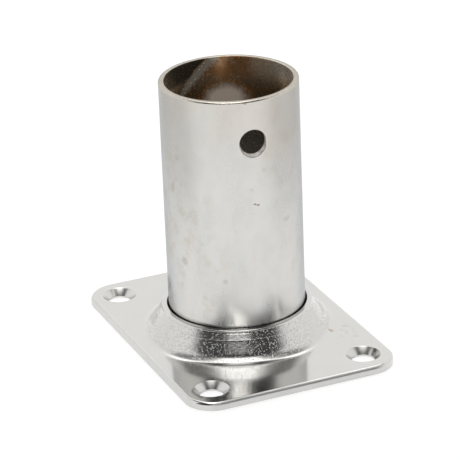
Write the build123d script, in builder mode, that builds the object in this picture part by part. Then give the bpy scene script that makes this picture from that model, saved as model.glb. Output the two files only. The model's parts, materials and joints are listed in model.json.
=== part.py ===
from build123d import *
from math import asin, cos, degrees, radians, sin, sqrt, tan
import os

# Stanchion base: a pressed sheet-metal deck plate with a raised collar, and a short tube
# socket that stands in the collar, is flared under it and is welded from below.
# Millimetres. Origin on the tube's axis at the plate's underside, which lies on the deck.
# +Z is up along the tube, +X runs along the plate's long side towards the locking-screw hole.

# Deck plate
plate_length = 55.5
plate_width = 40.0
plate_corner_r = 5.5
sheet_thickness = 1.5
edge_roll = 0.6  # rolled-over top edge that the blanking punch leaves

# Screw holes, one near each corner
screw_hole_d = 4.1
screw_sink_d = 6.4
screw_sink_angle = 90.0
screw_edge_x = 5.75  # hole centre to the plate's short edge
screw_edge_y = 5.25  # hole centre to the plate's long edge

# Tube socket
tube_outer_d = 25.0
tube_wall = 1.0
socket_height = 49.5  # rim above the deck
rim_round = 0.3  # outer edge of the rim
rim_break = 0.1  # inner edge of the rim
tube_foot_lift = 0.25  # foot and weld stay this far above the deck

# Locking-screw hole, through one wall of the tube
side_hole_d = 4.9
side_hole_drop = 7.9  # hole centre below the rim
side_hole_turn = -4.5  # degrees round the tube from +X

# Collar pressed up out of the plate
collar_gap = 0.3  # radial, between tube and collar
collar_height = 6.6  # crest of the lip above the deck
collar_lip_wall = 0.95
collar_lip_lean = 0.65  # how far the lip's outer face leans out on its way down
collar_step_drop = 1.6  # crest down to the small step below the lip
collar_step_width = 0.08
collar_slope = 60.0  # degrees from the deck
collar_foot_round = 2.9  # hollow round where the collar runs out into the plate

# Joint between tube and plate, under the collar
flare_gap = 0.05  # between the tube's flare and the underside of the collar
weld_depth = 1.5  # weld, upwards from the tube's foot

# Collar section, as radius and height, shared by the plate, the tube and the weld
tube_r = tube_outer_d / 2
bore_r = tube_r - tube_wall
slope = radians(collar_slope)
collar_r = tube_r + collar_gap
lip_round = collar_lip_wall / 2
lip_centre = (collar_r + lip_round, collar_height - lip_round)
lip_outer_r = collar_r + collar_lip_wall
step_z = collar_height - collar_step_drop
step_top_r = lip_outer_r + collar_lip_lean
step_foot_r = step_top_r + collar_step_width
run_out = collar_foot_round * tan(slope / 2)
foot_r = step_foot_r + (step_z - sheet_thickness) / tan(slope) + run_out
foot_centre = (foot_r, sheet_thickness + collar_foot_round)
under_round = collar_foot_round + sheet_thickness
foot_arc_start = 270 - collar_slope
cone_foot = (
    foot_centre[0] - collar_foot_round * sin(slope),
    foot_centre[1] - collar_foot_round * cos(slope),
)
under_cone_foot = (
    foot_centre[0] - under_round * sin(slope),
    foot_centre[1] - under_round * cos(slope),
)
seat_z = under_cone_foot[1] + (under_cone_foot[0] - collar_r) * tan(slope)
disc_r = sqrt(plate_length**2 + plate_width**2)


def flare_r(z: float) -> float:
    """Radius of the flare's outer side at a height below the bend."""
    return collar_r + (seat_z - z) / tan(slope) - flare_gap / sin(slope)


def under_arc_angle(z: float) -> float:
    """Angle, on the round under the collar's foot, of the point at a height."""
    return 180 + degrees(asin((foot_centre[1] - z) / under_round))


os.makedirs("parts", exist_ok=True)

# Deck plate with its collar: one sheet, turned as a disc and trimmed to the rectangle
with BuildPart() as base_plate:
    with BuildSketch(Plane.XZ) as sheet_section:
        with BuildLine() as sheet_outline:
            Line((collar_r, lip_centre[1]), (collar_r, seat_z))
            Line((collar_r, seat_z), under_cone_foot)
            CenterArc(foot_centre, under_round, foot_arc_start, collar_slope)
            Line((foot_r, 0), (disc_r, 0))
            Line((disc_r, 0), (disc_r, sheet_thickness))
            Line((disc_r, sheet_thickness), (foot_r, sheet_thickness))
            CenterArc(foot_centre, collar_foot_round, foot_arc_start, collar_slope)
            Line(cone_foot, (step_foot_r, step_z))
            Line((step_foot_r, step_z), (step_top_r, step_z))
            Line((step_top_r, step_z), (lip_outer_r, lip_centre[1]))
            CenterArc(lip_centre, lip_round, 0, 180)
        make_face()
    revolve(axis=Axis.Z)
    with BuildSketch(Plane.XY):
        RectangleRounded(plate_length, plate_width, plate_corner_r)
    extrude(amount=collar_height, mode=Mode.INTERSECT)
    # the plate's rim: what lies level with its top side and further out than the collar's foot
    top_edges = base_plate.edges().filter_by_position(Axis.Z, sheet_thickness, sheet_thickness)
    fillet(top_edges.filter_by(lambda edge: edge.center().length > foot_r), radius=edge_roll)
    with Locations(Plane.XY.offset(sheet_thickness)):
        with GridLocations(plate_length - 2 * screw_edge_x, plate_width - 2 * screw_edge_y, 2, 2):
            CounterSinkHole(
                radius=screw_hole_d / 2,
                counter_sink_radius=screw_sink_d / 2,
                depth=sheet_thickness,
                counter_sink_angle=screw_sink_angle,
            )

# Tube socket: straight bore, foot flared to seat under the collar
flare_bend_z = seat_z + (collar_r - tube_r) * tan(slope) - flare_gap / cos(slope)
flare_wall = tube_wall / sin(slope)
inner_bend_z = flare_bend_z - (flare_wall - tube_wall) * tan(slope)
flare_foot_r = flare_r(tube_foot_lift)
side_hole_axis = (cos(radians(side_hole_turn)), sin(radians(side_hole_turn)), 0)
side_hole_plane = Plane(origin=(0, 0, socket_height - side_hole_drop), z_dir=side_hole_axis)

with BuildPart() as socket_tube:
    with BuildSketch(Plane.XZ) as wall_section:
        with BuildLine() as wall_outline:
            Polyline(
                (bore_r, socket_height),
                (bore_r, inner_bend_z),
                (flare_foot_r - flare_wall, tube_foot_lift),
                (flare_foot_r, tube_foot_lift),
                (tube_r, flare_bend_z),
                (tube_r, socket_height),
                close=True,
            )
        make_face()
    revolve(axis=Axis.Z)
    fillet(socket_tube.edges().group_by(Axis.Z)[-1].sort_by(SortBy.RADIUS)[-1], radius=rim_round)
    chamfer(socket_tube.edges().group_by(Axis.Z)[-1].sort_by(SortBy.RADIUS)[0], length=rim_break)
    with BuildSketch(side_hole_plane):
        Circle(side_hole_d / 2)
    extrude(amount=tube_outer_d, mode=Mode.SUBTRACT)

# Weld: a ring run into the groove between the tube's flare and the plate's underside
weld_top_z = tube_foot_lift + weld_depth
weld_arc_start = under_arc_angle(weld_top_z)
weld_arc_end = under_arc_angle(tube_foot_lift)

with BuildPart() as weld_bead:
    with BuildSketch(Plane.XZ) as weld_section:
        with BuildLine() as weld_outline:
            groove_side = CenterArc(
                foot_centre, under_round, weld_arc_start, weld_arc_end - weld_arc_start
            )
            Line(groove_side @ 1, (flare_foot_r, tube_foot_lift))
            Line((flare_foot_r, tube_foot_lift), (flare_r(weld_top_z), weld_top_z))
            Line((flare_r(weld_top_z), weld_top_z), groove_side @ 0)
        make_face()
    revolve(axis=Axis.Z)

base_plate.part.label = "base_plate"
socket_tube.part.label = "socket_tube"
weld_bead.part.label = "weld_bead"

export_step(base_plate.part, "parts/base_plate.step")
export_step(socket_tube.part, "parts/socket_tube.step")
export_step(weld_bead.part, "parts/weld_bead.step")
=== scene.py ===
"""Looks of a screw-down stanchion base: a pressed, bright-nickelled deck plate with a tube socket."""

import json
import logging
import math
from dataclasses import dataclass, field
from enum import Enum
from typing import Callable, ClassVar, Iterable

import bmesh
import bpy
from mathutils import Euler, Matrix, Vector


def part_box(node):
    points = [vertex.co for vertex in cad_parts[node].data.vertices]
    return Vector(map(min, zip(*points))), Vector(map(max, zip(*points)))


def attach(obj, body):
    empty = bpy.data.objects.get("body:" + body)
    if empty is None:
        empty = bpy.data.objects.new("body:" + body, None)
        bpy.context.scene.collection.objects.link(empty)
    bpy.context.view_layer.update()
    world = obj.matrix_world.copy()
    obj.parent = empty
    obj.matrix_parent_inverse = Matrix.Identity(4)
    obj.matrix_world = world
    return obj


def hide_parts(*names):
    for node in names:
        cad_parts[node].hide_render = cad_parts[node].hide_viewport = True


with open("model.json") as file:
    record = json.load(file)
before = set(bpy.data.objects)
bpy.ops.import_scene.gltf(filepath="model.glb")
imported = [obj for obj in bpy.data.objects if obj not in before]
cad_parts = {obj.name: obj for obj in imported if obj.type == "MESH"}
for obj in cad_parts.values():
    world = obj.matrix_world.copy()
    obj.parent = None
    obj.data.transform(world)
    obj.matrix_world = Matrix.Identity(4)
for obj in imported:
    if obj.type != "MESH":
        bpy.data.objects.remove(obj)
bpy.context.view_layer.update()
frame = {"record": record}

log = logging.getLogger("stanchion_base")

MM = 0.001
FULL_TURN = 2 * math.pi
TOUCHING = 2e-6  # points nearer than this are one point
LEVEL = 4e-6  # points nearer than this in height lie on one level
BODY = "root"

Point = tuple[float, float]
Place = tuple[float, float, float]
Colour = tuple[float, float, float]
Band = tuple[float, float]  # where a change starts and where it is complete
Shares = tuple[float, float]  # an amount everywhere, and one on top where a pattern shows


# --- Bench work: one mesh, shaped in edit mode and finished with modifiers ---


class Element(Enum):
    """The parts of a mesh that can be picked."""

    POINT = "VERT"
    EDGE = "EDGE"
    FACE = "FACE"


def arc(centre: Point, radius: float, start: float, end: float, steps: int) -> list[Point]:
    """Points along a round of a section, both ends included.

    Args:
        centre: Radius and height of the round's centre.
        radius: Radius of the round.
        start: Angle of the first point in degrees, from the outward direction towards the top.
        end: Angle of the last point in degrees.
        steps: Number of straight steps that stand for the round.

    Returns:
        Points as radius and height.
    """
    points = []
    for step in range(steps + 1):
        angle = math.radians(start + (end - start) * step / steps)
        points.append((centre[0] + radius * math.cos(angle), centre[1] + radius * math.sin(angle)))
    return points


class Bench:
    """One piece on the bench. Its object sits at the origin and its place is in its mesh."""

    def __init__(self, name: str) -> None:
        """Adopts the object that the last primitive made.

        Args:
            name: Name of the finished piece.
        """
        self.piece = bpy.context.object
        self.piece.name = name
        self.piece.data.name = name
        for slot in list(self.piece.data.materials):
            self.piece.data.materials.pop()

    @staticmethod
    def clear() -> None:
        """Leaves nothing selected, so that the next operator meets only its own piece."""
        bpy.ops.object.select_all(action="DESELECT")

    def open(self) -> None:
        """Goes into edit mode with nothing picked."""
        bpy.ops.object.mode_set(mode="EDIT")
        bpy.ops.mesh.select_all(action="DESELECT")

    def close(self) -> None:
        """Goes back to object mode."""
        bpy.ops.object.mode_set(mode="OBJECT")

    def pick(
        self,
        element: Element,
        inside: Callable[[Vector], bool],
        only_open: bool = False,
    ) -> None:
        """Picks the elements whose points all lie where they should.

        Args:
            element: Which kind of element is picked.
            inside: Says of a point whether it lies in the wanted place.
            only_open: Leaves out edges that two faces share.
        """
        bpy.ops.mesh.select_mode(type=element.value)
        bpy.ops.mesh.select_all(action="DESELECT")
        mesh = bmesh.from_edit_mesh(self.piece.data)
        kinds = {Element.POINT: mesh.verts, Element.EDGE: mesh.edges, Element.FACE: mesh.faces}
        for item in kinds[element]:
            points = [item] if element is Element.POINT else item.verts
            if only_open and len(item.link_faces) > 1:
                continue
            if all(inside(point.co) for point in points):
                item.select_set(True)
        mesh.select_flush_mode()
        bmesh.update_edit_mesh(self.piece.data)

    def pick_circle(self, radius: float, level: float, centre: Point = (0.0, 0.0)) -> None:
        """Picks the open edges that lie on a level circle.

        Args:
            radius: The circle's radius.
            level: Its height.
            centre: The X and Y of its axis.
        """
        middle = Vector(centre)
        self.pick(
            Element.EDGE,
            lambda p: abs(p.z - level) < LEVEL and abs((p.xy - middle).length - radius) < LEVEL,
            only_open=True,
        )

    def extrude(self, move: Iterable[float]) -> None:
        """Draws what is picked out by a distance, with faces along the way."""
        bpy.ops.mesh.extrude_region_move(TRANSFORM_OT_translate={"value": tuple(move)})

    def scale(self, factors: Iterable[float], centre: Iterable[float]) -> None:
        """Scales what is picked about a centre."""
        bpy.ops.transform.resize(value=tuple(factors), center_override=tuple(centre))

    def draw_section(self, points: list[Point], centre: Point = (0.0, 0.0)) -> None:
        """Draws the picked ring along a section, with faces along the way.

        Args:
            points: Radius and height of each ring. The first is where the picked ring lies.
            centre: The X and Y of the axis.
        """
        for (near_r, near_z), (far_r, far_z) in zip(points, points[1:]):
            self.extrude((0.0, 0.0, far_z - near_z))
            growth = far_r / near_r
            self.scale((growth, growth, 1.0), (centre[0], centre[1], far_z))

    def bevel(self, width: float, segments: int) -> None:
        """Rounds the picked edges."""
        bpy.ops.mesh.bevel(
            offset_type="OFFSET", offset=width, segments=segments, profile=0.5, clamp_overlap=True
        )

    def join_points(self) -> None:
        """Joins points that touch, over the whole piece."""
        bpy.ops.mesh.select_all(action="SELECT")
        bpy.ops.mesh.remove_doubles(threshold=TOUCHING)

    def face_out(self) -> None:
        """Turns all faces outwards."""
        bpy.ops.mesh.select_all(action="SELECT")
        bpy.ops.mesh.normals_make_consistent(inside=False)

    def apply(self, kind: str, **settings: object) -> None:
        """Adds a modifier, sets it and applies it.

        Args:
            kind: The modifier's type.
            settings: Its settings by name.
        """
        modifier = self.piece.modifiers.new(kind.lower(), kind)
        for key, value in settings.items():
            setattr(modifier, key, value)
        bpy.context.view_layer.objects.active = self.piece
        bpy.ops.object.modifier_apply(modifier=modifier.name)

    def smooth(self, sharp_angle: float) -> None:
        """Shades the piece smooth up to an angle, with wide faces keeping their own direction.

        Args:
            sharp_angle: Edges sharper than this, in degrees, stay sharp.
        """
        self.clear()
        self.piece.select_set(True)
        bpy.context.view_layer.objects.active = self.piece
        bpy.ops.object.shade_smooth_by_angle(angle=math.radians(sharp_angle))
        self.apply("WEIGHTED_NORMAL", mode="FACE_AREA", weight=50, keep_sharp=True)


# --- Shader work: values with arithmetic, and one way to add a node ---


class Value:
    """One number inside a shader. Arithmetic on it adds Math nodes."""

    def __init__(self, shader: "Shader", socket: bpy.types.NodeSocket) -> None:
        """Wraps a socket.

        Args:
            shader: The shader that the socket belongs to.
            socket: The output socket that carries the number.
        """
        self.shader = shader
        self.socket = socket

    def _math(self, operation: str, first: object, second: object) -> "Value":
        """Adds a Math node on two numbers."""
        made = self.shader.node("Math", {"operation": operation}, {0: first, 1: second})
        return self.shader.value(made)

    def __add__(self, other: object) -> "Value":
        """The sum."""
        return self._math("ADD", self, other)

    __radd__ = __add__

    def __mul__(self, other: object) -> "Value":
        """The product."""
        return self._math("MULTIPLY", self, other)

    __rmul__ = __mul__

    def __sub__(self, other: object) -> "Value":
        """The difference."""
        return self._math("SUBTRACT", self, other)

    def __rsub__(self, other: object) -> "Value":
        """The difference, taken from the other number."""
        return self._math("SUBTRACT", other, self)

    def __truediv__(self, other: object) -> "Value":
        """The quotient."""
        return self._math("DIVIDE", self, other)

    def __pow__(self, other: object) -> "Value":
        """The power."""
        return self._math("POWER", self, other)

    def __abs__(self) -> "Value":
        """The distance from nought."""
        return self._math("ABSOLUTE", self, 0.0)

    def larger(self, other: object) -> "Value":
        """The larger of two numbers."""
        return self._math("MAXIMUM", self, other)

    def angle_from(self, other: object) -> "Value":
        """The angle whose tangent is this number over the other."""
        return self._math("ARCTAN2", self, other)

    def ramp(self, start: float, end: float) -> "Value":
        """Rises smoothly from 0 to 1.

        Args:
            start: The number that gives 0.
            end: The number that gives 1.

        Returns:
            How far the number has come, held at 0 and 1 outside.
        """
        settings = {"interpolation_type": "SMOOTHSTEP"}
        made = self.shader.node(
            "MapRange", settings, {"Value": self, "From Min": start, "From Max": end}
        )
        return self.shader.value(made)

    def fall(self, start: float, end: float) -> "Value":
        """Falls smoothly from 1 where the number is at start to 0 where it is at end."""
        return 1.0 - self.ramp(start, end)

    def within(self, near: float, far: float) -> "Value":
        """Is 1 while the number is nearer to nought than near, and 0 beyond far."""
        return abs(self).fall(near, far)


@dataclass(frozen=True)
class Pattern:
    """Cloudy noise, from 0 to 1 and mostly near a half, and the band of it that counts."""

    scale: float  # features in a metre
    detail: float = 2.0  # how many finer layers it has
    stretch: Place = (1.0, 1.0, 1.0)  # how many times as close together it lies along each axis
    start: Place = (0.0, 0.0, 0.0)  # picks one pattern out of many
    roughness: float = 0.5  # how strong the finer layers are
    band: Band | None = None


class Shader:
    """The node tree of one material or of the surroundings."""

    def __init__(self, tree: bpy.types.NodeTree) -> None:
        """Empties a node tree and starts it afresh.

        Args:
            tree: The node tree.
        """
        self.tree = tree
        tree.nodes.clear()

    def node(self, kind: str, settings: dict, inputs: dict) -> bpy.types.Node:
        """Adds one node, sets it and then feeds its sockets.

        Args:
            kind: The node's type, without the prefix that shader nodes share.
            settings: Its settings by name.
            inputs: Numbers, colours, values or sockets, by socket name or number.

        Returns:
            The node.
        """
        made = self.tree.nodes.new("ShaderNode" + kind)
        for key, setting in settings.items():
            setattr(made, key, setting)
        for key, given in inputs.items():
            socket = made.inputs[key]
            if isinstance(given, Value):
                self.tree.links.new(given.socket, socket)
            elif isinstance(given, bpy.types.NodeSocket):
                self.tree.links.new(given, socket)
            elif isinstance(given, tuple) and socket.type == "RGBA":
                socket.default_value = (*given, 1.0)
            else:
                socket.default_value = given
        return made

    def value(self, node: bpy.types.Node, output: int | str = 0) -> Value:
        """The number that a node gives."""
        return Value(self, node.outputs[output])

    def places(self, centre: Iterable[float], stretch: Iterable[float]) -> bpy.types.NodeSocket:
        """Places on the piece, moved and stretched for a pattern.

        Args:
            centre: The point of the piece that the pattern starts from.
            stretch: How many times as close together the pattern lies along each axis.

        Returns:
            A socket with the places.
        """
        coordinates = self.node("TexCoord", {}, {})
        moved = self.node(
            "Mapping",
            {"vector_type": "POINT"},
            {
                "Vector": coordinates.outputs["Object"],
                "Location": tuple(-c * s for c, s in zip(centre, stretch)),
                "Scale": tuple(stretch),
            },
        )
        return moved.outputs["Vector"]

    def axes(self, source: bpy.types.NodeSocket | None = None) -> list[Value]:
        """The X, Y and Z of a vector, or of the places on the piece.

        Args:
            source: A socket with a vector. Without it, the places on the piece.

        Returns:
            The three numbers.
        """
        vector = self.places((0.0, 0.0, 0.0), (1.0, 1.0, 1.0)) if source is None else source
        parts = self.node("SeparateXYZ", {}, {"Vector": vector})
        return [self.value(parts, name) for name in "XYZ"]

    def noise(self, pattern: Pattern) -> Value:
        """Cloudy noise.

        Args:
            pattern: What the noise is like.

        Returns:
            The noise, or how far it has come through the pattern's band.
        """
        inputs = {
            "Vector": self.places(pattern.start, pattern.stretch),
            "Scale": pattern.scale,
            "Detail": pattern.detail,
            "Roughness": pattern.roughness,
        }
        cloudy = self.value(self.node("TexNoise", {}, inputs))
        return cloudy.ramp(*pattern.band) if pattern.band else cloudy

    def blob(self, centre: Iterable[float], size: Iterable[float]) -> Value:
        """One soft spot, 1 at its centre and 0 outside.

        Args:
            centre: Its place on the piece.
            size: Its half lengths along the three axes.

        Returns:
            The spot's strength.
        """
        places = self.places(centre, tuple(1.0 / s for s in size))
        made = self.node("TexGradient", {"gradient_type": "QUADRATIC_SPHERE"}, {"Vector": places})
        return self.value(made, "Fac")

    def blend(self, amount: object, low: object, high: object) -> bpy.types.NodeSocket:
        """Mixes two colours.

        Args:
            amount: 0 gives the low colour and 1 the high colour.
            low: A colour or a colour socket.
            high: A colour or a colour socket.

        Returns:
            The mixed colour.
        """
        made = self.node(
            "Mix",
            {"data_type": "RGBA", "blend_type": "MIX", "clamp_factor": True},
            {0: amount, 6: low, 7: high},
        )
        return made.outputs[2]

    def bump(self, height: Value, distance: float, strength: float) -> bpy.types.NodeSocket:
        """Raises the surface in its shading only.

        Args:
            height: The height, from 0 to 1.
            distance: What a height of 1 stands for, in metres.
            strength: How much of it shows.

        Returns:
            The normal.
        """
        made = self.node("Bump", {}, {"Height": height, "Distance": distance, "Strength": strength})
        return made.outputs["Normal"]


class Finish:
    """A finish that becomes a material."""

    name: ClassVar[str]

    def material(self) -> bpy.types.Material:
        """Makes the material.

        Returns:
            The material.
        """
        material = bpy.data.materials.new(self.name)
        material.use_nodes = True
        shader = Shader(material.node_tree)
        surface = shader.node("BsdfPrincipled", {}, self.surface(shader))
        shader.node("OutputMaterial", {}, {"Surface": surface.outputs["BSDF"]})
        return material

    def surface(self, shader: Shader) -> dict:
        """What feeds the surface's sockets, by socket name."""
        raise NotImplementedError


def shift(band: Band, by: float) -> Band:
    """Moves a band by a distance."""
    return (band[0] + by, band[1] + by)


def along_and_beside(x: Value, y: Value, azimuth: float) -> tuple[Value, Value]:
    """How far a place lies towards a direction, and how far beside it.

    Args:
        x: Its X.
        y: Its Y.
        azimuth: The direction, in radians from +X.

    Returns:
        The distance ahead and the distance to the side.
    """
    ahead = x * math.cos(azimuth) + y * math.sin(azimuth)
    beside = y * math.cos(azimuth) - x * math.sin(azimuth)
    return ahead, beside


# --- Finishes ---


@dataclass(frozen=True)
class Mark:
    """One stain on the tube: where it is, how big it is, and how strong."""

    turn: float  # degrees round the tube from +X
    height: float
    half_width: float
    half_height: float
    strength: float


@dataclass(frozen=True)
class TubeNickel(Finish):
    """Bright nickel on the outside of the tube: cloudy polish, grime, flecks, a few stains and painted
    shade towards the top.
    """

    name: ClassVar[str] = "bright_tube"
    wall: "TubeSizes"  # places the stains
    metal: Colour = (0.655, 0.645, 0.622)
    cool: Colour = (0.600, 0.610, 0.605)
    grime: Colour = (0.520, 0.455, 0.350)
    stain: Colour = (0.200, 0.130, 0.060)
    # Painted shade: the tube is made darker and warmer towards its top, in mottled patches.
    painted_top_shade: Colour = (0.590, 0.550, 0.500)
    edge_tint: Colour = (0.62, 0.64, 0.66)
    roughness: float = 0.20
    haze: float = 0.10
    clouds: Pattern = Pattern(260.0, 4.0, (1.0, 1.0, 0.7), roughness=0.6, band=(0.36, 0.66))
    broad: Pattern = Pattern(75.0, 2.0, (1.0, 1.0, 0.8), (0.1, 0.0, 0.0), band=(0.38, 0.66))
    blots: Pattern = Pattern(430.0, 5.0, (1.0, 1.0, 0.8), (0.2, 0.1, 0.0), 0.62, (0.44, 0.72))
    flecks: Pattern = Pattern(1500.0, 3.0, (1.0, 1.0, 0.8), (0.0, 0.2, 0.0), 0.6, (0.60, 0.76))
    ragged: Pattern = Pattern(1700.0, start=(0.4, 0.0, 0.0))
    hazy: Pattern = Pattern(320.0, 4.0, (1.0, 1.0, 0.35), (0.3, 0.0, 0.0), band=(0.30, 0.75))
    lines: Pattern = Pattern(2600.0, stretch=(1.0, 1.0, 0.03))
    ripple: Pattern = Pattern(240.0, stretch=(1.0, 1.0, 0.6), start=(0.5, 0.1, 0.0))
    pits: Pattern = Pattern(1300.0, start=(0.7, 0.1, 0.0))
    cooled: float = 0.6
    grimed: Shares = (0.10, 0.38)  # on top in the broad clouds
    flecked: Shares = (0.05, 0.45)  # on top in the blots
    top_shaded: Shares = (0.35, 0.45)
    top_shade_level: Band = (31.0 * MM, 46.0 * MM)
    mark_ragged: float = 0.7
    mark_edge: Band = (0.15, 0.55)
    rim_worn: Shares = (0.45, 1.6)
    rim_level: Band = (-0.05 * MM, 0.15 * MM)
    ripple_rise: float = 0.55
    line_rise: float = 0.05
    pit_rise: float = 0.10
    rise: float = 0.02 * MM
    rise_shown: float = 0.7
    marks: tuple[Mark, ...] = (
        Mark(-4.6, 30.15 * MM, 0.34 * MM, 0.19 * MM, 0.90),
        Mark(-2.4, 29.92 * MM, 0.34 * MM, 0.19 * MM, 0.90),
        Mark(-72.6, 38.1 * MM, 0.70 * MM, 0.80 * MM, 0.14),
        Mark(-80.2, 31.9 * MM, 0.70 * MM, 1.10 * MM, 0.16),
        Mark(-68.8, 18.4 * MM, 0.80 * MM, 0.80 * MM, 0.20),
        Mark(26.0, 25.7 * MM, 1.00 * MM, 0.60 * MM, 0.14),
        Mark(3.8, 36.3 * MM, 0.40 * MM, 0.50 * MM, 0.16),
        Mark(-32.0, 15.6 * MM, 0.60 * MM, 0.50 * MM, 0.16),
        Mark(-7.2, 32.9 * MM, 0.40 * MM, 0.35 * MM, 0.12),
        Mark(-10.4, 49.2 * MM, 0.35 * MM, 0.30 * MM, 0.95),
    )

    def surface(self, shader: Shader) -> dict:
        """Layers clouds, grime, flecks, stains, painted shade towards the top and a worn rim over the
        nickel.

        Args:
            shader: The material's shader.

        Returns:
            What feeds the surface's sockets, by socket name.
        """
        ragged = shader.noise(self.ragged) - 0.5
        broad = shader.noise(self.broad)
        blots = shader.noise(self.blots)
        colour = shader.blend(shader.noise(self.clouds) * self.cooled, self.metal, self.cool)
        colour = shader.blend(blots * (self.grimed[0] + broad * self.grimed[1]), colour, self.grime)
        flecks = shader.noise(self.flecks) * (self.flecked[0] + blots * broad * self.flecked[1])
        colour = shader.blend(flecks, colour, self.stain)
        for mark in self.marks:
            size = (mark.half_width, mark.half_width, mark.half_height)
            spot = shader.blob(self.wall.on_wall(mark.turn, mark.height), tuple(2.0 * s for s in size))
            spot = (spot + ragged * self.mark_ragged).ramp(*self.mark_edge)
            colour = shader.blend(spot * mark.strength, colour, self.stain)
        height = shader.axes()[2]
        # Painted shade: darker towards the top of the tube, mottled by the broad clouds.
        painted_top_shade = height.ramp(*self.top_shade_level) * (self.top_shaded[0] + broad * self.top_shaded[1])
        colour = shader.blend(painted_top_shade, colour, self.painted_top_shade)
        worn = height.ramp(*shift(self.rim_level, self.wall.rim_z - self.wall.rim_round))
        worn = worn * (self.rim_worn[0] + ragged * self.rim_worn[1])
        colour = shader.blend(worn, colour, self.grime)
        rise = shader.noise(self.ripple) * self.ripple_rise + shader.noise(self.lines) * self.line_rise
        rise = rise + shader.noise(self.pits) * self.pit_rise
        return {
            "Metallic": 1.0,
            "Base Color": colour,
            "Specular Tint": self.edge_tint,
            "Roughness": self.roughness + shader.noise(self.hazy) * self.haze,
            "Normal": shader.bump(rise, self.rise, self.rise_shown),
        }


@dataclass(frozen=True)
class TubeInside(Finish):
    """The tube's inside, where the plating hardly reached: browner and darker with depth."""

    name: ClassVar[str] = "tube_lining"
    wall: "TubeSizes"  # places the stains
    high: Colour = (0.86, 0.73, 0.55)
    low: Colour = (0.27, 0.17, 0.085)
    deep: Colour = (0.33, 0.31, 0.28)
    grey: Colour = (0.80, 0.77, 0.68)
    rust: Colour = (0.52, 0.25, 0.09)
    bright: Colour = (0.95, 0.92, 0.84)
    bare: Colour = (0.075, 0.070, 0.055)
    # Painted reflection: the lighter colour of a dome low on the far wall.
    dome_reflection_colour: Colour = (0.98, 0.86, 0.75)
    metallic: float = 0.72
    roughness: float = 0.24
    fleck_dark: float = 0.22
    fleck_dull: float = 0.12
    # Painted reflection: how much less metallic the dome is, so that it shows lighter.
    dome_reflection_matt: float = 0.9
    ragged: Pattern = Pattern(700.0, 3.0)
    cloudy: Pattern = Pattern(230.0, 3.0, start=(0.4, 0.2, 0.0))
    flecks: Pattern = Pattern(2300.0, band=(0.56, 0.70))
    # Places inside are in millimetres: sideways round the bore from -X, and up from the rim.
    cloud_sway: float = 2.0
    high_level: Band = (-6.2, -0.8)
    deep_level: Band = (-14.0, -6.5)
    grey_side: Band = (-15.0, -11.0)
    grey_level: Band = (-4.0, -1.5)
    rust_side: float = -4.2
    rust_width: Band = (3.4, 5.6)
    rust_level: Band = (-5.0, -3.0)
    rust_sway: float = 3.0
    rusted: Shares = (0.80, 1.2)
    slant: Point = (0.65, 0.76)  # the streak's lean: its part of sideways and of up
    slant_level: float = -1.5
    slant_sway: float = 0.5
    streak_place: float = -0.2
    streak_width: Band = (0.3, 1.1)
    streak_level: Band = (-6.5, -3.5)
    streak_lean: float = 0.2
    streaked: float = 0.9
    patch_edge: Band = (0.4, 1.1)
    patch_level: Band = (-4.4, -3.0)
    patch_side: Band = (7.0, 17.0)
    patched: float = 0.95
    # Where the painted reflection of a dome lies on the far wall; a rust ring runs round its edge.
    dome_centre: Point = (-3.9, -8.3)
    dome_half: Point = (4.3, 3.2)
    dome_sway: float = 0.35
    dome_edge: Band = (0.55, 1.22)
    ring_place: float = 1.12
    ring_width: Band = (0.05, 0.25)
    ringed: float = 0.75

    def surface(self, shader: Shader) -> dict:
        """Layers the lining's colours from the rim down, then its stains and a painted reflection.

        Args:
            shader: The material's shader.

        Returns:
            What feeds the surface's sockets, by socket name.
        """
        x, y, z = shader.axes()
        way = (0.0 - y).angle_from(0.0 - x) * (self.wall.bore_r / MM)
        height = z / MM - self.wall.rim_z / MM
        ragged = shader.noise(self.ragged) - 0.5
        sway = (shader.noise(self.cloudy) - 0.5) * self.cloud_sway
        colour = shader.blend((height + sway).ramp(*self.high_level), self.low, self.high)
        colour = shader.blend(height.fall(*self.deep_level), colour, self.deep)
        grey = (way + sway).fall(*self.grey_side) * height.ramp(*self.grey_level)
        colour = shader.blend(grey, colour, self.grey)
        rusty = (way - self.rust_side).within(*self.rust_width)
        rusty = rusty * (height + ragged * self.rust_sway).ramp(*self.rust_level)
        colour = shader.blend(rusty * (self.rusted[0] + ragged * self.rusted[1]), colour, self.rust)
        slant = way * self.slant[0] + (height - self.slant_level) * self.slant[1]
        slant = slant + ragged * self.slant_sway
        streak = (slant - self.streak_place).within(*self.streak_width)
        streak = streak * (height + way * self.streak_lean).ramp(*self.streak_level)
        colour = shader.blend(streak * self.streaked, colour, self.bright)
        patch = slant.ramp(*self.patch_edge) * (height + ragged).ramp(*self.patch_level)
        patch = patch * way.fall(*self.patch_side)
        colour = shader.blend(patch * self.patched, colour, self.bare)
        # A painted reflection: a lighter, less metallic dome low on the far wall, ringed with rust.
        beside = (way - self.dome_centre[0]) / self.dome_half[0]
        above = (height - self.dome_centre[1]) / self.dome_half[1]
        away = (beside**2.0 + above**2.0) ** 0.5 + ragged * self.dome_sway
        ring = (away - self.ring_place).within(*self.ring_width)
        colour = shader.blend(ring * self.ringed, colour, self.rust)
        painted_dome_reflection = away.fall(*self.dome_edge)
        colour = shader.blend(painted_dome_reflection, colour, self.dome_reflection_colour)
        flecks = shader.noise(self.flecks)
        colour = shader.blend(flecks * self.fleck_dark, colour, self.bare)
        return {
            "Base Color": colour,
            "Metallic": self.metallic * (1.0 - painted_dome_reflection * self.dome_reflection_matt),
            "Roughness": self.roughness + flecks * self.fleck_dull,
        }


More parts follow.
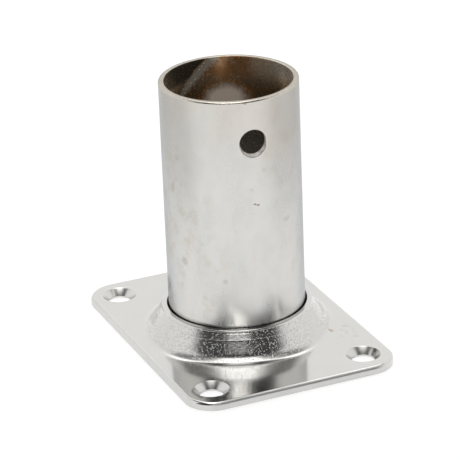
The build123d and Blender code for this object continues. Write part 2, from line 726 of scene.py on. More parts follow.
@dataclass(frozen=True)
class HoleWall(Finish):
    """The torn, half-plated wall of the punched hole."""

    name: ClassVar[str] = "hole_wall"
    metal: Colour = (0.930, 0.915, 0.880)
    dark: Colour = (0.330, 0.300, 0.260)
    metallic: float = 0.25
    roughness: Shares = (0.34, 0.2)
    torn: Pattern = Pattern(900.0, 3.0, (0.3, 1.0, 1.0))
    torn_band: Band = (0.4, 0.7)
    darkened: float = 0.7
    rise: float = 0.05 * MM
    rise_shown: float = 0.7

    def surface(self, shader: Shader) -> dict:
        """Darkens the torn metal in patches.

        Args:
            shader: The material's shader.

        Returns:
            What feeds the surface's sockets, by socket name.
        """
        torn = shader.noise(self.torn)
        worn = torn.ramp(*self.torn_band) * self.darkened
        return {
            "Base Color": shader.blend(worn, self.metal, self.dark),
            "Metallic": self.metallic,
            "Roughness": self.roughness[0] + torn * self.roughness[1],
            "Normal": shader.bump(torn, self.rise, self.rise_shown),
        }


@dataclass(frozen=True)
class PlateNickel(Finish):
    """Bright nickel on the pressed plate: clear on the flat, grainy where the collar was drawn."""

    name: ClassVar[str] = "bright_plate"
    plate: "PlateSizes"  # places the grain and the stain
    metal: Colour = (0.660, 0.655, 0.640)
    cool: Colour = (0.620, 0.625, 0.620)
    stain: Colour = (0.400, 0.260, 0.120)
    pit: Colour = (0.340, 0.310, 0.250)
    roughness: float = 0.11
    edge_dull: float = 0.26
    sink_dull: float = 0.12
    grain_dull: float = 0.06
    cloud_dull: float = 0.03
    clouds: Pattern = Pattern(120.0, 3.0, band=(0.35, 0.70))
    stained: Pattern = Pattern(420.0, 3.0, start=(0.2, 0.0, 0.0), band=(0.50, 0.66))
    specks: Pattern = Pattern(800.0, 1.0, start=(0.0, 0.4, 0.0), band=(0.76, 0.82))
    peel: Pattern = Pattern(3800.0, 1.0, start=(0.1, 0.1, 0.0), band=(0.58, 0.76))
    wave: Pattern = Pattern(95.0, 1.0, start=(0.6, 0.1, 0.0))
    sparkle: Pattern = Pattern(5200.0, 1.0, start=(0.3, 0.3, 0.0))
    sparkle_band: Band = (0.36, 0.52)
    cooled: float = 0.5
    specked: float = 0.35
    pitted: float = 0.35
    stain_place: Place = (12.0 * MM, 14.5 * MM, 1.5 * MM)
    stain_half: Place = (7.0 * MM, 5.0 * MM, 3.0 * MM)
    stain_edge: Band = (0.0, 0.5)
    stain_depth: float = 0.80
    grain_foot: Band = (-1.6 * MM, -0.2 * MM)  # from the collar's foot
    grain_level: Band = (0.1 * MM, 0.5 * MM)  # above the flat
    crest_level: Band = (-0.35 * MM, -0.15 * MM)  # from the collar's top
    crest_clear: float = 0.8
    edge_band: Band = (-0.15 * MM, 0.20 * MM)
    sink_band: Band = (0.0, 0.2 * MM)
    peel_rise: float = 1.1
    wave_rise: float = 0.5
    rise: float = 0.035 * MM
    rise_shown: float = 0.8

    def surface(self, shader: Shader) -> dict:
        """Keeps the flat clear and grains the collar.

        Args:
            shader: The material's shader.

        Returns:
            What feeds the surface's sockets, by socket name.
        """
        across, along, height = shader.axes()
        radius = (across * across + along * along) ** 0.5
        drawn = radius.fall(*shift(self.grain_foot, self.plate.foot_r))
        drawn = drawn * height.ramp(*shift(self.grain_level, self.plate.thickness))
        crest = height.ramp(*shift(self.crest_level, self.plate.collar_height))
        drawn = drawn * (1.0 - crest * self.crest_clear)
        clouds = shader.noise(self.clouds)
        colour = shader.blend(clouds * self.cooled, self.metal, self.cool)
        patch = shader.blob(self.stain_place, self.stain_half).ramp(*self.stain_edge)
        patch = shader.noise(self.stained) * patch * self.stain_depth
        colour = shader.blend(patch, colour, self.stain)
        colour = shader.blend(shader.noise(self.specks) * self.specked, colour, self.stain)
        rise = shader.noise(self.peel) * drawn * self.peel_rise
        rise = rise + shader.noise(self.wave) * self.wave_rise
        pits = shader.noise(self.sparkle).fall(*self.sparkle_band) * drawn * self.pitted
        colour = shader.blend(pits, colour, self.pit)
        past_end = abs(across) - (self.plate.half_length - self.plate.edge_roll)
        past_side = abs(along) - (self.plate.half_width - self.plate.edge_roll)
        edge = past_end.larger(past_side).ramp(*self.edge_band)
        aside = abs(across) - self.plate.screw_half_x
        ahead = abs(along) - self.plate.screw_half_y
        sink = ((aside * aside + ahead * ahead) ** 0.5).fall(*shift(self.sink_band, self.plate.sink_r))
        dulled = drawn * self.grain_dull + clouds * self.cloud_dull
        dulled = dulled + edge * self.edge_dull + sink * self.sink_dull
        return {
            "Metallic": 1.0,
            "Base Color": colour,
            "Roughness": self.roughness + dulled,
            "Normal": shader.bump(rise, self.rise, self.rise_shown),
        }


@dataclass(frozen=True)
class WeldMetal(Finish):
    """Weld metal under the plate, thinly plated: greyer, rippled and heat-tinted."""

    name: ClassVar[str] = "plated_weld"
    metal: Colour = (0.42, 0.40, 0.37)
    burnt: Colour = (0.16, 0.13, 0.11)
    roughness: Shares = (0.38, 0.2)
    scale: Pattern = Pattern(700.0, 3.0, band=(0.35, 0.7))
    fine: Pattern = Pattern(3000.0)
    rise: float = 0.05 * MM
    rise_shown: float = 0.8

    def surface(self, shader: Shader) -> dict:
        """Scales the bead where it was burnt.

        Args:
            shader: The material's shader.

        Returns:
            What feeds the surface's sockets, by socket name.
        """
        scale = shader.noise(self.scale)
        return {
            "Metallic": 1.0,
            "Base Color": shader.blend(scale, self.metal, self.burnt),
            "Roughness": self.roughness[0] + scale * self.roughness[1],
            "Normal": shader.bump(shader.noise(self.fine), self.rise, self.rise_shown),
        }


@dataclass(frozen=True)
class FloorWhite(Finish):
    """Matt white paper under the piece, lit a little less towards both sides."""

    name: ClassVar[str] = "floor_white"
    azimuth: float  # where the camera stands, in radians from +X
    paper: Colour = (0.45, 0.45, 0.45)
    white: Colour = (1.0, 1.0, 1.0)
    black: Colour = (0.0, 0.0, 0.0)
    roughness: float = 0.9
    gloss: float = 0.1
    glow: float = 0.66
    side_loss: float = 0.26
    side_band: Band = (50.0 * MM, 105.0 * MM)
    ahead_band: Band = (50.0 * MM, 110.0 * MM)
    setback: float = 20.0 * MM

    def surface(self, shader: Shader) -> dict:
        """Dims the paper towards both sides.

        Args:
            shader: The material's shader.

        Returns:
            What feeds the surface's sockets, by socket name.
        """
        x, y, _ = shader.axes()
        ahead, beside = along_and_beside(x, y, self.azimuth)
        lost = abs(beside).ramp(*self.side_band) * (ahead + self.setback).within(*self.ahead_band)
        lost = lost * self.side_loss
        return {
            "Base Color": shader.blend(lost, self.paper, self.black),
            "Roughness": self.roughness,
            "Specular IOR Level": self.gloss,
            "Emission Color": shader.blend(lost, self.white, self.black),
            "Emission Strength": self.glow,
        }


# --- Pieces ---


def mount(name: str) -> dict:
    """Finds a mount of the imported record.

    Args:
        name: The mount's name.

    Returns:
        The mount.
    """
    return next(m for m in frame["record"]["mounts"] if m["name"] == name)


def from_box(node: str, end: int, axis: int) -> float:
    """A size field that is read from a node's box: its low end is 0 and its high end is 1."""
    return field(default_factory=lambda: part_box(node)[end][axis])


def from_mount(name: str, key: str, share: float = 1.0) -> float:
    """A size field that is read from a mount, or a share of it."""
    return field(default_factory=lambda: mount(name)["dims"][key] * MM * share)


@dataclass
class PlateSizes:
    """Sizes of the deck plate and its collar, in metres."""

    half_length: float = from_box("base_plate", 1, 0)
    half_width: float = from_box("base_plate", 1, 1)
    collar_height: float = from_box("base_plate", 1, 2)
    screw_half_x: float = from_mount("deck_screws", "spacing_x_mm", 0.5)
    screw_half_y: float = from_mount("deck_screws", "spacing_y_mm", 0.5)
    screw_r: float = from_mount("deck_screws", "hole_r_mm")
    sink_r: float = 3.2 * MM
    thickness: float = 1.5 * MM
    corner_r: float = 5.5 * MM
    edge_roll: float = 0.6 * MM
    edge_break: float = 0.07 * MM
    tube_r: float = 12.5 * MM
    gap: float = 0.3 * MM
    lip_wall: float = 0.95 * MM
    lip_lean: float = 0.65 * MM
    crest_slope: float = 3.0
    crest_round: float = 0.32 * MM
    crest_break: float = 0.08 * MM
    step_drop: float = 1.6 * MM
    step_width: float = 0.08 * MM
    slope: float = 60.0
    foot_round: float = 2.9 * MM

    @property
    def collar_r(self) -> float:
        """Radius of the hole in the collar."""
        return self.tube_r + self.gap

    @property
    def foot_r(self) -> float:
        """Where the collar has run out into the flat.

        Returns:
            The radius.
        """
        slope = math.radians(self.slope)
        step_r = self.collar_r + self.lip_wall + self.lip_lean + self.step_width
        rise = self.collar_height - self.step_drop - self.thickness
        return step_r + rise / math.tan(slope) + self.foot_round * math.tan(slope / 2)

    @property
    def foot_centre(self) -> Point:
        """Centre of the hollow round at the collar's foot."""
        return (self.foot_r, self.thickness + self.foot_round)

    @property
    def screws(self) -> list[Point]:
        """Centres of the screw holes."""
        return [(x * self.screw_half_x, y * self.screw_half_y) for x in (-1, 1) for y in (-1, 1)]


@dataclass
class DeckPlate:
    """The pressed deck plate with its collar and countersunk screw holes."""

    sizes: PlateSizes = field(default_factory=PlateSizes)
    ring_steps: int = 192
    screw_steps: int = 64
    corner_steps: int = 14
    edge_steps: int = 8
    break_steps: int = 2
    crest_steps: int = 8
    foot_steps: int = 16
    sharp_angle: float = 32.0

    def collar_section(self) -> list[Point]:
        """The collar's section, from the flat over the lip and down inside to the underside.

        Returns:
            Points as radius and height.
        """
        s = self.sizes
        top_normal = 90.0 - s.crest_slope
        inner_centre = (s.collar_r + s.crest_break, s.collar_height - s.crest_break)
        inner_round = arc(inner_centre, s.crest_break, top_normal, 180.0, self.crest_steps)
        outer_x = s.collar_r + s.lip_wall - s.crest_round
        outer_round = arc((outer_x, 0.0), s.crest_round, 0.0, top_normal, self.crest_steps)
        fall = (outer_round[-1][0] - inner_round[0][0]) * math.tan(math.radians(s.crest_slope))
        lift = inner_round[0][1] - fall - outer_round[-1][1]
        crest = [(x, z + lift) for x, z in outer_round]
        crest = crest + self.run(crest[-1], inner_round[0], 5) + inner_round[1:]
        step_z = s.collar_height - s.step_drop
        step_top_r = s.collar_r + s.lip_wall + s.lip_lean
        outer = arc(s.foot_centre, s.foot_round, 270.0, 270.0 - s.slope, self.foot_steps)
        cone_end = (step_top_r + s.step_width, step_z)
        cone = self.run(outer[-1], cone_end, 8)
        ease = s.step_width / 3
        step = [
            (step_top_r + s.step_width - ease / 2, step_z + ease / 2),
            (step_top_r + ease / 2, step_z + ease),
            (step_top_r, step_z + 2 * ease),
        ]
        face = self.run(step[-1], crest[0], 4)
        under_r = s.foot_round + s.thickness
        under = arc(s.foot_centre, under_r, 270.0 - s.slope, 270.0, self.foot_steps)
        slope = math.radians(s.slope)
        seat_z = under[0][1] + (under[0][0] - s.collar_r) * math.tan(slope)
        hole = self.run(crest[-1], (s.collar_r, seat_z), 3)
        return outer + cone + step + face + crest[1:] + hole + under

    @staticmethod
    def run(start: Point, end: Point, steps: int) -> list[Point]:
        """Points along a straight stretch, without its start."""
        return [
            (start[0] + (end[0] - start[0]) * k / steps, start[1] + (end[1] - start[1]) * k / steps)
            for k in range(1, steps + 1)
        ]

    def build(self) -> bpy.types.Object:
        """Models the plate: blank, rolled edge, holes, then the drawn collar.

        Returns:
            The piece.
        """
        s = self.sizes
        Bench.clear()
        bpy.ops.mesh.primitive_plane_add(size=2.0, location=(0.0, 0.0, 0.0))
        bench = Bench("deck_plate")
        bench.open()
        bpy.ops.mesh.select_all(action="SELECT")
        bench.scale((s.half_length, s.half_width, 1.0), (0.0, 0.0, 0.0))
        bpy.ops.mesh.bevel(
            offset_type="OFFSET",
            offset=s.corner_r,
            segments=self.corner_steps,
            profile=0.5,
            affect="VERTICES",
        )
        bpy.ops.mesh.select_all(action="SELECT")
        bench.extrude((0.0, 0.0, s.thickness))
        bench.pick(Element.EDGE, lambda p: abs(p.z - s.thickness) < LEVEL)
        bench.bevel(s.edge_roll, self.edge_steps)
        bench.pick(Element.EDGE, lambda p: abs(p.z) < LEVEL)
        bench.bevel(s.edge_break, self.break_steps)
        for level in (0.0, s.thickness):
            bench.pick(Element.FACE, lambda p: abs(p.z - level) < LEVEL)
            bpy.ops.mesh.delete(type="ONLY_FACE")
        self.add_circles(bench)
        for level in (0.0, s.thickness):
            bench.pick(Element.EDGE, lambda p: abs(p.z - level) < LEVEL, only_open=True)
            bpy.ops.mesh.fill(use_beauty=True)
        for centre in s.screws:
            self.sink_hole(bench, centre)
        bench.pick_circle(s.foot_r, s.thickness)
        bench.draw_section(self.collar_section())
        bench.join_points()
        bench.face_out()
        bench.close()
        bench.smooth(self.sharp_angle)
        return bench.piece

    def add_circles(self, bench: Bench) -> None:
        """Adds the rings that the flats leave open for the collar and the screw holes.

        Args:
            bench: The plate on the bench.
        """
        s = self.sizes
        rings = [
            (s.foot_r, s.thickness, (0.0, 0.0), self.ring_steps),
            (s.foot_r, 0.0, (0.0, 0.0), self.ring_steps),
        ]
        for centre in s.screws:
            rings.append((s.sink_r, s.thickness, centre, self.screw_steps))
            rings.append((s.screw_r + s.edge_break, 0.0, centre, self.screw_steps))
        for radius, level, centre, steps in rings:
            bpy.ops.mesh.primitive_circle_add(
                vertices=steps, radius=radius, fill_type="NOTHING", location=(*centre, level)
            )

    def sink_hole(self, bench: Bench, centre: Point) -> None:
        """Draws one countersunk hole down through the plate.

        Args:
            bench: The plate on the bench.
            centre: The hole's axis.
        """
        s = self.sizes
        ease = s.edge_break
        depth = s.sink_r - s.screw_r
        shoulder_z = s.thickness - depth
        section = [
            (s.sink_r, s.thickness),
            (s.sink_r - 0.5 * ease, s.thickness - 0.15 * ease),
            (s.sink_r - ease, s.thickness - 0.6 * ease),
            (s.screw_r + ease, shoulder_z + ease),
            (s.screw_r + 0.3 * ease, shoulder_z + 0.1 * ease),
            (s.screw_r, shoulder_z - 0.8 * ease),
            (s.screw_r, ease),
            (s.screw_r + 0.3 * ease, 0.3 * ease),
            (s.screw_r + ease, 0.0),
        ]
        bench.pick_circle(s.sink_r, s.thickness, centre)
        bench.draw_section(section, centre)


@dataclass
class TubeSizes:
    """Sizes of the tube socket, in metres."""

    rim_z: float = from_box("socket_tube", 1, 2)
    foot_z: float = from_box("socket_tube", 0, 2)
    foot_r: float = from_box("socket_tube", 1, 0)
    bore_r: float = from_mount("socket", "r_mm")
    hole_r: float = from_mount("locking_screw_hole", "r_mm")
    hole_place: Vector = field(default_factory=lambda: Vector(mount("locking_screw_hole")["pos_m"]))
    rim_round: float = 0.30 * MM
    rim_break: float = 0.10 * MM
    burr: float = 0.40 * MM
    punch_slant: float = 0.26 * MM  # how far the hole's inner end sits aside of its outer end
    flare_slope: float = 60.0
    bend_round: float = 1.2 * MM
    bend_lift: float = 0.2 * MM

    @property
    def outer_r(self) -> float:
        """Outside radius: the hole's place is half way through the wall."""
        return 2 * self.hole_place.xy.length - self.bore_r

    @property
    def mid_r(self) -> float:
        """Radius half way through the wall."""
        return self.hole_place.xy.length

    @property
    def wall(self) -> float:
        """Wall thickness."""
        return self.outer_r - self.bore_r

    @property
    def hole_turn(self) -> float:
        """Angle of the cross hole round the tube, from +X."""
        return math.atan2(self.hole_place.y, self.hole_place.x)

    @property
    def bend_z(self) -> float:
        """Height where the flare starts, outside."""
        return self.foot_z + (self.foot_r - self.outer_r) * math.tan(math.radians(self.flare_slope))

    def on_wall(self, turn: float, height: float) -> tuple[float, float, float]:
        """A place on the tube's outside.

        Args:
            turn: Angle round the tube from +X, in degrees.
            height: Height above the deck.

        Returns:
            The place.
        """
        angle = math.radians(turn)
        return (self.outer_r * math.cos(angle), self.outer_r * math.sin(angle), height)


@dataclass
class SocketTube:
    """The tube socket: a punched flat blank, rolled up, joined and flared."""

    sizes: TubeSizes = field(default_factory=TubeSizes)
    columns: int = 192
    rows_over_hole: int = 20
    bend_steps: int = 5
    flare_steps: int = 6
    rim_round_steps: int = 5
    rim_break_steps: int = 3
    sharp_angle: float = 40.0
    burr_ring: float = 1.03
    ring_reach: float = 0.0055  # how far off a ring its points may lie, over the hole's radius
    window: int = 16  # cells across the square that is cut out for the hole's own faces
    hole_rings: tuple[float, ...] = (1.0, 1.012, 1.03, 1.055, 1.085, 1.19)  # radii over the hole's own

    def build(self) -> bpy.types.Object:
        """Models the tube.

        Returns:
            The piece.
        """
        s = self.sizes
        bench, low_z = self.punch_blank()
        self.roll(bench)
        bench.open()
        bench.join_points()
        bench.pick(Element.EDGE, lambda p: abs(p.z - low_z) < LEVEL, only_open=True)
        bench.draw_section([(s.outer_r, low_z)] + self.flare_section())
        bench.face_out()
        bench.close()
        bench.apply("SOLIDIFY", thickness=s.wall, offset=-1.0, use_even_offset=True)
        bench.open()
        self.trim_foot(bench)
        self.turn_burr(bench)
        self.straighten_hole(bench)
        self.roll_hole_edge(bench)
        self.ease_edges(bench)
        bench.face_out()
        bench.close()
        bench.smooth(self.sharp_angle)
        return bench.piece

    def punch_blank(self) -> tuple[Bench, float]:
        """Lays out the flat blank with its hole.

        Returns:
            The bench with the blank, and the height of the blank's lower edge.
        """
        s = self.sizes
        length = FULL_TURN * s.outer_r
        column = length / self.columns
        row = (s.rim_z - s.hole_place.z) / self.rows_over_hole
        rows = int((s.rim_z - s.bend_z) / row)
        low_z = s.rim_z - rows * row
        Bench.clear()
        bpy.ops.mesh.primitive_grid_add(
            x_subdivisions=self.columns,
            y_subdivisions=rows,
            size=1.0,
            location=(0.0, 0.0, 0.0),
            rotation=(math.pi / 2, 0.0, 0.0),
        )
        bench = Bench("socket_tube_wall")
        bpy.ops.object.transform_apply(location=True, rotation=True, scale=True)
        bench.open()
        bench.pick(Element.POINT, lambda p: True)
        bench.scale((length, 1.0, rows * row), (0.0, 0.0, 0.0))
        bpy.ops.transform.translate(value=(0.0, 0.0, (s.rim_z + low_z) / 2))
        half = self.window // 2
        near_x = half * column + LEVEL
        near_z = half * row + LEVEL
        bench.pick(
            Element.FACE, lambda p: abs(p.x) < near_x and abs(p.z - s.hole_place.z) < near_z
        )
        bpy.ops.mesh.delete(type="FACE")
        bpy.ops.mesh.primitive_circle_add(
            vertices=4 * self.window,
            radius=s.hole_r,
            fill_type="NOTHING",
            location=(0.0, 0.0, s.hole_place.z),
            rotation=(math.pi / 2, 0.0, 0.0),
        )
        bench.pick(
            Element.EDGE, lambda p: math.hypot(p.x, p.z - s.hole_place.z) < s.hole_r + LEVEL
        )
        for near_r, far_r in zip(self.hole_rings, self.hole_rings[1:]):
            bench.extrude((0.0, 0.0, 0.0))
            growth = far_r / near_r
            bench.scale((growth, 1.0, growth), (0.0, 0.0, s.hole_place.z))
        inner = s.hole_r * self.hole_rings[-1] - LEVEL
        bench.pick(
            Element.EDGE,
            lambda p: abs(p.x) < near_x
            and abs(p.z - s.hole_place.z) < near_z
            and math.hypot(p.x, p.z - s.hole_place.z) > inner,
            only_open=True,
        )
        bpy.ops.mesh.fill(use_beauty=True)
        bench.close()
        return bench, low_z

    def roll(self, bench: Bench) -> None:
        """Rolls the blank round the tube's axis, with the hole at its own angle.

        Args:
            bench: The tube on the bench.
        """
        s = self.sizes
        bench.apply("SIMPLE_DEFORM", deform_method="BEND", deform_axis="Z", angle=FULL_TURN)
        bench.piece.location = (0.0, -s.outer_r, 0.0)
        bpy.ops.object.transform_apply(location=True, rotation=False, scale=False)
        bench.piece.rotation_euler = (0.0, 0.0, s.hole_turn + math.pi / 2)
        bpy.ops.object.transform_apply(location=False, rotation=True, scale=False)

    def flare_section(self) -> list[Point]:
        """Section of the foot, from the straight wall down and out.

        Returns:
            Points as radius and height.
        """
        s = self.sizes
        centre = (s.outer_r + s.bend_round, s.bend_z + s.bend_lift)
        bend = arc(centre, s.bend_round, 180.0, 180.0 + (90.0 - s.flare_slope), self.bend_steps)
        return bend + DeckPlate.run(bend[-1], (s.foot_r, s.foot_z), self.flare_steps)

    def trim_foot(self, bench: Bench) -> None:
        """Cuts the flare's foot level, where its wall runs out square to its slope.

        Args:
            bench: The tube on the bench.
        """
        s = self.sizes
        bpy.ops.mesh.select_all(action="SELECT")
        bpy.ops.mesh.bisect(
            plane_co=(0.0, 0.0, s.foot_z + LEVEL),
            plane_no=(0.0, 0.0, 1.0),
            clear_inner=True,
            threshold=LEVEL / 2,
        )
        bench.pick(Element.EDGE, lambda p: p.z < s.foot_z + 2 * LEVEL, only_open=True)
        bpy.ops.mesh.bridge_edge_loops(type="SINGLE")

    def from_hole(self, point: Vector) -> float:
        """How far a point is from the hole's centre, measured as on the flat blank."""
        turn = math.atan2(point.y, point.x) - self.sizes.hole_turn
        return math.hypot(turn * self.sizes.outer_r, point.z - self.sizes.hole_place.z)

    def pick_ring(self, bench: Bench, ring: float, outside: bool) -> None:
        """Picks one ring of points round the hole, on one side of the wall.

        Args:
            bench: The tube on the bench.
            ring: The ring's radius over the hole's own.
            outside: Which side of the wall.
        """
        s = self.sizes
        bench.pick(
            Element.POINT,
            lambda p: (p.xy.length > s.mid_r) == outside
            and abs(self.from_hole(p) / s.hole_r - ring) < self.ring_reach,
        )

    def turn_burr(self, bench: Bench) -> None:
        """Turns up the burr that the punch left round the hole's inner end.

        Args:
            bench: The tube on the bench.
        """
        s = self.sizes
        outermost = (self.burr_ring + self.ring_reach) * s.hole_r
        bench.pick(
            Element.FACE,
            lambda p: p.xy.length < s.bore_r + s.wall / 4 and self.from_hole(p) < outermost,
        )
        bench.extrude((0.0, 0.0, 0.0))
        shrink = 1.0 - s.burr / s.bore_r
        bench.scale((shrink, shrink, 1.0), (0.0, 0.0, 0.0))

    def straighten_hole(self, bench: Bench) -> None:
        """Widens the hole's inner end, so that its wall runs straight through.

        Args:
            bench: The tube on the bench.
        """
        s = self.sizes
        full = s.outer_r / s.bore_r
        last = self.hole_rings[-1]
        spread = (last / full - 1.0) / (last - 1.0)
        turned = Matrix.Rotation(s.hole_turn, 3, "Z")
        aside = turned @ Vector((0.0, 1.0, 0.0))
        for ring in reversed(self.hole_rings[:-1]):
            self.pick_ring(bench, ring, outside=False)
            growth = (1.0 + (ring - 1.0) * spread) * full / ring
            bpy.ops.transform.resize(
                value=(1.0, growth, 1.0), center_override=s.hole_place, orient_matrix=turned
            )
            share = min(1.0, (last - ring) / (last - self.burr_ring))
            bpy.ops.transform.translate(value=aside * (s.punch_slant * share))

    def roll_hole_edge(self, bench: Bench) -> None:
        """Draws the hole's outer edge in, ring by ring, as the punch does.

        Args:
            bench: The tube on the bench.
        """
        s = self.sizes
        radius = (self.hole_rings[-2] - 1.0) * s.hole_r
        inward = Vector((-math.cos(s.hole_turn), -math.sin(s.hole_turn), 0.0))
        for ring in self.hole_rings[:-2]:
            self.pick_ring(bench, ring, outside=True)
            short = 1.0 - (ring - 1.0) * s.hole_r / radius
            depth = radius * (1.0 - math.sqrt(1.0 - short * short))
            bpy.ops.transform.translate(value=inward * depth)

    def ease_edges(self, bench: Bench) -> None:
        """Rounds the rim's two edges.

        Args:
            bench: The tube on the bench.
        """
        s = self.sizes
        top = s.rim_z - LEVEL
        bench.pick(Element.EDGE, lambda p: p.z > top and p.xy.length > s.mid_r)
        bench.bevel(s.rim_round, self.rim_round_steps)
        bench.pick(Element.EDGE, lambda p: p.z > top and p.xy.length < s.bore_r + s.wall / 10)
        bench.bevel(s.rim_break, self.rim_break_steps)


@dataclass
class WeldBead:
    """The weld run into the groove between the tube's flare and the plate's underside."""

    plate: PlateSizes = field(default_factory=PlateSizes)
    tube: TubeSizes = field(default_factory=TubeSizes)
    ring_steps: int = 240
    ripples: int = 60
    ripple_depth: float = 0.10 * MM
    ripple_lean: float = 1.2 * MM  # how far across the bead a ripple falls back
    ripple_curve: float = 3.0
    dish: float = 1.2  # depth of the dished face over the ripples' depth
    dish_steps: int = 5
    side_steps: int = 6
    sharp_angle: float = 50.0

    def section(self) -> list[Point]:
        """The bead's closed section, its face dished towards the deck.

        Returns:
            Points as radius and height.
        """
        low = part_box("weld_bead")[0][2]
        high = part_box("weld_bead")[1][2]
        centre = self.plate.foot_centre
        radius = self.plate.foot_round + self.plate.thickness

        def groove(z: float) -> Point:
            """A point on the plate's side of the groove."""
            return (centre[0] - math.sqrt(radius**2 - (centre[1] - z) ** 2), z)

        slope = math.tan(math.radians(self.tube.flare_slope))

        def flare(z: float) -> Point:
            """A point on the tube's side of the groove."""
            return (self.tube.foot_r - (z - self.tube.foot_z) / slope, z)

        heights = [high + (low - high) * k / self.side_steps for k in range(self.side_steps + 1)]
        outer = [groove(z) for z in heights]
        inner = [flare(z) for z in reversed(heights)]
        start, end = outer[-1], inner[0]
        face = []
        for step in range(1, self.dish_steps):
            share = step / self.dish_steps
            rise = self.dish * self.ripple_depth * math.sin(math.pi * share)
            face.append((start[0] + (end[0] - start[0]) * share, low + rise))
        return outer + face + inner

    def build(self) -> bpy.types.Object:
        """Models the bead: its section spun round the tube, then rippled.

        Returns:
            The piece.
        """
        points = self.section()
        Bench.clear()
        bpy.ops.mesh.primitive_plane_add(size=0.1 * MM, location=(points[0][0], 0.0, points[0][1]))
        bench = Bench("weld_ring")
        bpy.ops.object.transform_apply(location=True, rotation=True, scale=True)
        bench.open()
        bench.pick(Element.POINT, lambda p: True)
        bpy.ops.mesh.merge(type="CENTER")
        for near, far in zip(points, points[1:] + points[:1]):
            bench.extrude((far[0] - near[0], 0.0, far[1] - near[1]))
        bench.join_points()
        bench.pick(Element.EDGE, lambda p: True)
        bpy.ops.mesh.spin(
            steps=self.ring_steps,
            angle=FULL_TURN,
            center=(0.0, 0.0, 0.0),
            axis=(0.0, 0.0, 1.0),
            use_auto_merge=True,
        )
        bench.join_points()
        self.ripple(bench)
        bench.face_out()
        bench.close()
        bench.smooth(self.sharp_angle)
        return bench.piece

    def ripple(self, bench: Bench) -> None:
        """Lifts the bead's face in crescents, as the run of a weld leaves it.

        Args:
            bench: The bead on the bench.
        """
        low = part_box("weld_bead")[0][2]
        top = low + 2 * self.ripple_depth
        step = FULL_TURN / self.ring_steps
        columns = self.ring_steps // self.ripples
        for row in [r for r, z in self.section() if z < top]:
            lean = self.ripple_curve * ((row - self.tube.foot_r) / self.ripple_lean) ** 2
            for column in range(columns):
                bench.pick(
                    Element.POINT,
                    lambda p: p.z < top
                    and abs(p.xy.length - row) < LEVEL
                    and round(math.atan2(p.y, p.x) / step) % columns == column,
                )
                wave = 0.5 - 0.5 * math.cos(self.ripples * step * column + lean)
                bpy.ops.transform.translate(value=(0.0, 0.0, self.ripple_depth * wave))


# --- Studio ---


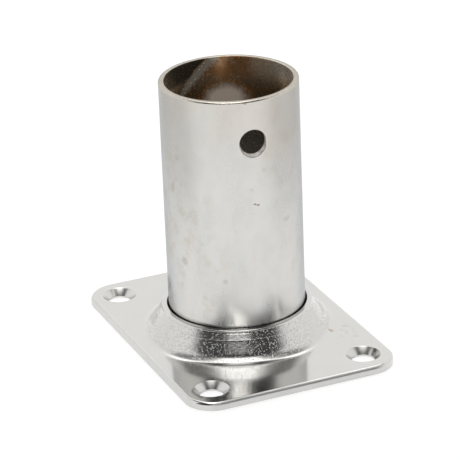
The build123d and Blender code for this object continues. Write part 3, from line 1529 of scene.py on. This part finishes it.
@dataclass
class Studio:
    """White floor, a pale tent that is open and dark towards the camera, and a soft top light."""

    azimuth: float = -22.79  # degrees, where the camera stands round the piece
    rise: float = 23.48  # degrees above the point that it aims at
    distance: float = 0.48199
    aim_height: float = 0.020
    lens: float = 208.56
    turn_side: float = 0.0937
    turn_up: float = 0.0257
    roll: float = -2.24
    tent: float = 1.04
    tent_upper: float = 0.78
    dark: float = 0.06
    lamp: float = 5.2
    strip: float = 2.8
    lobe: float = 0.24
    paper: Colour = (1.0, 0.995, 0.985)
    # Bands of the tent: degrees round it and up it, or shares of a direction that points there.
    opening_side: Band = (56.0, 70.0)
    opening_top: Band = (56.0, 64.0)
    upper_level: Band = (38.0, 60.0)
    lamp_side: Band = (12.0, 18.0)
    lamp_bottom: Band = (21.9, 23.6)
    lamp_top: Band = (26.8, 28.4)
    strip_side: Band = (0.14, 0.30)
    strip_front: Band = (0.34, 0.44)
    strip_level: Band = (0.60, 0.75)
    lobe_inner: Band = (0.26, 0.36)
    lobe_outer: Band = (0.56, 0.66)
    lobe_level: Band = (0.72, 0.82)
    floor_size: float = 12.0
    floor_drop: float = 0.02 * MM

    def camera(self) -> None:
        """Places the camera."""
        azimuth, rise = math.radians(self.azimuth), math.radians(self.rise)
        back = Vector(
            (math.cos(azimuth) * math.cos(rise), math.sin(azimuth) * math.cos(rise), math.sin(rise))
        )
        data = bpy.data.cameras.new("view")
        data.sensor_width = 36.0
        data.lens = self.lens
        data.clip_start = 0.01
        data.clip_end = 100.0
        camera = bpy.data.objects.new("view", data)
        bpy.context.collection.objects.link(camera)
        lean = Euler([math.radians(a) for a in (self.turn_up, self.turn_side, self.roll)], "XYZ")
        camera.matrix_world = (
            Matrix.Translation(back * self.distance + Vector((0.0, 0.0, self.aim_height)))
            @ back.to_track_quat("Z", "Y").to_matrix().to_4x4()
            @ lean.to_matrix().to_4x4()
        )
        bpy.context.scene.camera = camera

    def surroundings(self) -> None:
        """Paints the tent: pale all round, dark through its open front, with a top light."""
        world = bpy.data.worlds.new("tent")
        world.use_nodes = True
        bpy.context.scene.world = world
        shader = Shader(world.node_tree)
        azimuth = math.radians(self.azimuth)
        direction = shader.node("TexCoord", {}, {}).outputs["Generated"]
        x, y, z = shader.axes(direction)
        ahead, beside = along_and_beside(x, y, azimuth)
        aside = abs(beside)
        turn = abs(beside.angle_from(ahead)) / math.radians(1.0)
        high = z.angle_from((x * x + y * y) ** 0.5) / math.radians(1.0)
        front = turn.fall(*self.opening_side) * high.fall(*self.opening_top)
        lamp = turn.fall(*self.lamp_side) * high.ramp(*self.lamp_bottom) * high.fall(*self.lamp_top)
        strip = aside.fall(*self.strip_side) * ahead.fall(*self.strip_front)
        strip = strip * z.ramp(*self.strip_level)
        lobe = aside.ramp(*self.lobe_inner) * aside.fall(*self.lobe_outer) * z.ramp(*self.lobe_level)
        light = self.tent + (self.tent_upper - self.tent) * high.ramp(*self.upper_level)
        light = light + (self.lobe - light) * lobe
        light = light + (self.dark - light) * front
        light = light + (self.strip - light) * strip + lamp * self.lamp
        tent = shader.node("Background", {}, {"Color": self.paper, "Strength": light})
        plain = shader.node("Background", {}, {"Color": (1.0, 1.0, 1.0), "Strength": 1.0})
        seen = shader.node("LightPath", {}, {}).outputs["Is Camera Ray"]
        mixed = shader.node("MixShader", {}, {0: seen, 1: tent.outputs[0], 2: plain.outputs[0]})
        shader.node("OutputWorld", {}, {"Surface": mixed.outputs[0]})

    def floor(self) -> bpy.types.Object:
        """Lays the white floor.

        Returns:
            The floor.
        """
        Bench.clear()
        bpy.ops.mesh.primitive_plane_add(size=self.floor_size, location=(0.0, 0.0, -self.floor_drop))
        floor = bpy.context.object
        floor.name = "floor"
        floor.data.materials.append(FloorWhite(math.radians(self.azimuth)).material())
        return floor

    def build(self) -> None:
        """Sets up the camera, the floor and the light."""
        self.camera()
        self.surroundings()
        self.floor()
        bpy.context.scene.view_settings.view_transform = "Standard"
        bpy.context.scene.view_settings.look = "None"


# --- Assembly ---


def dress_tube(piece: bpy.types.Object, sizes: TubeSizes) -> None:
    """Gives the tube its outside, its inside and the wall of its hole their finishes.

    Args:
        piece: The tube.
        sizes: Its sizes.
    """
    for finish in (TubeNickel(sizes), TubeInside(sizes), HoleWall()):
        piece.data.materials.append(finish.material())
    for face in piece.data.polygons:
        place, facing = face.center, face.normal
        reach = sizes.hole_r * 1.002
        in_hole = place.x > 0 and math.hypot(place.y, place.z - sizes.hole_place.z) < reach + sizes.wall
        lined = place.xy.length < sizes.bore_r + sizes.wall / 20 and place.xy.dot(facing.xy) < 0
        away = abs(facing.xy.dot(sizes.hole_place.xy.normalized())) < 0.6
        if in_hole and away and place.xy.length < sizes.outer_r - sizes.wall / 8:
            face.material_index = 2
        elif lined:
            face.material_index = 1


def hand_over(piece: bpy.types.Object, node: str) -> None:
    """Puts a finished piece in the place of a node.

    Args:
        piece: The finished piece.
        node: The node that it stands for.
    """
    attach(piece, BODY)
    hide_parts(node)
    log.info("%s: %d faces", piece.name, len(piece.data.polygons))


def main() -> None:
    """Builds the pieces in order, and then the studio."""
    logging.basicConfig(level=logging.INFO, format="%(name)s %(message)s")
    plate = DeckPlate()
    plate_piece = plate.build()
    plate_piece.data.materials.append(PlateNickel(plate.sizes).material())
    hand_over(plate_piece, "base_plate")
    tube = SocketTube()
    tube_piece = tube.build()
    dress_tube(tube_piece, tube.sizes)
    hand_over(tube_piece, "socket_tube")
    weld_piece = WeldBead(plate.sizes, tube.sizes).build()
    weld_piece.data.materials.append(WeldMetal().material())
    hand_over(weld_piece, "weld_bead")
    Studio().build()


if __name__ == "__main__":
    main()
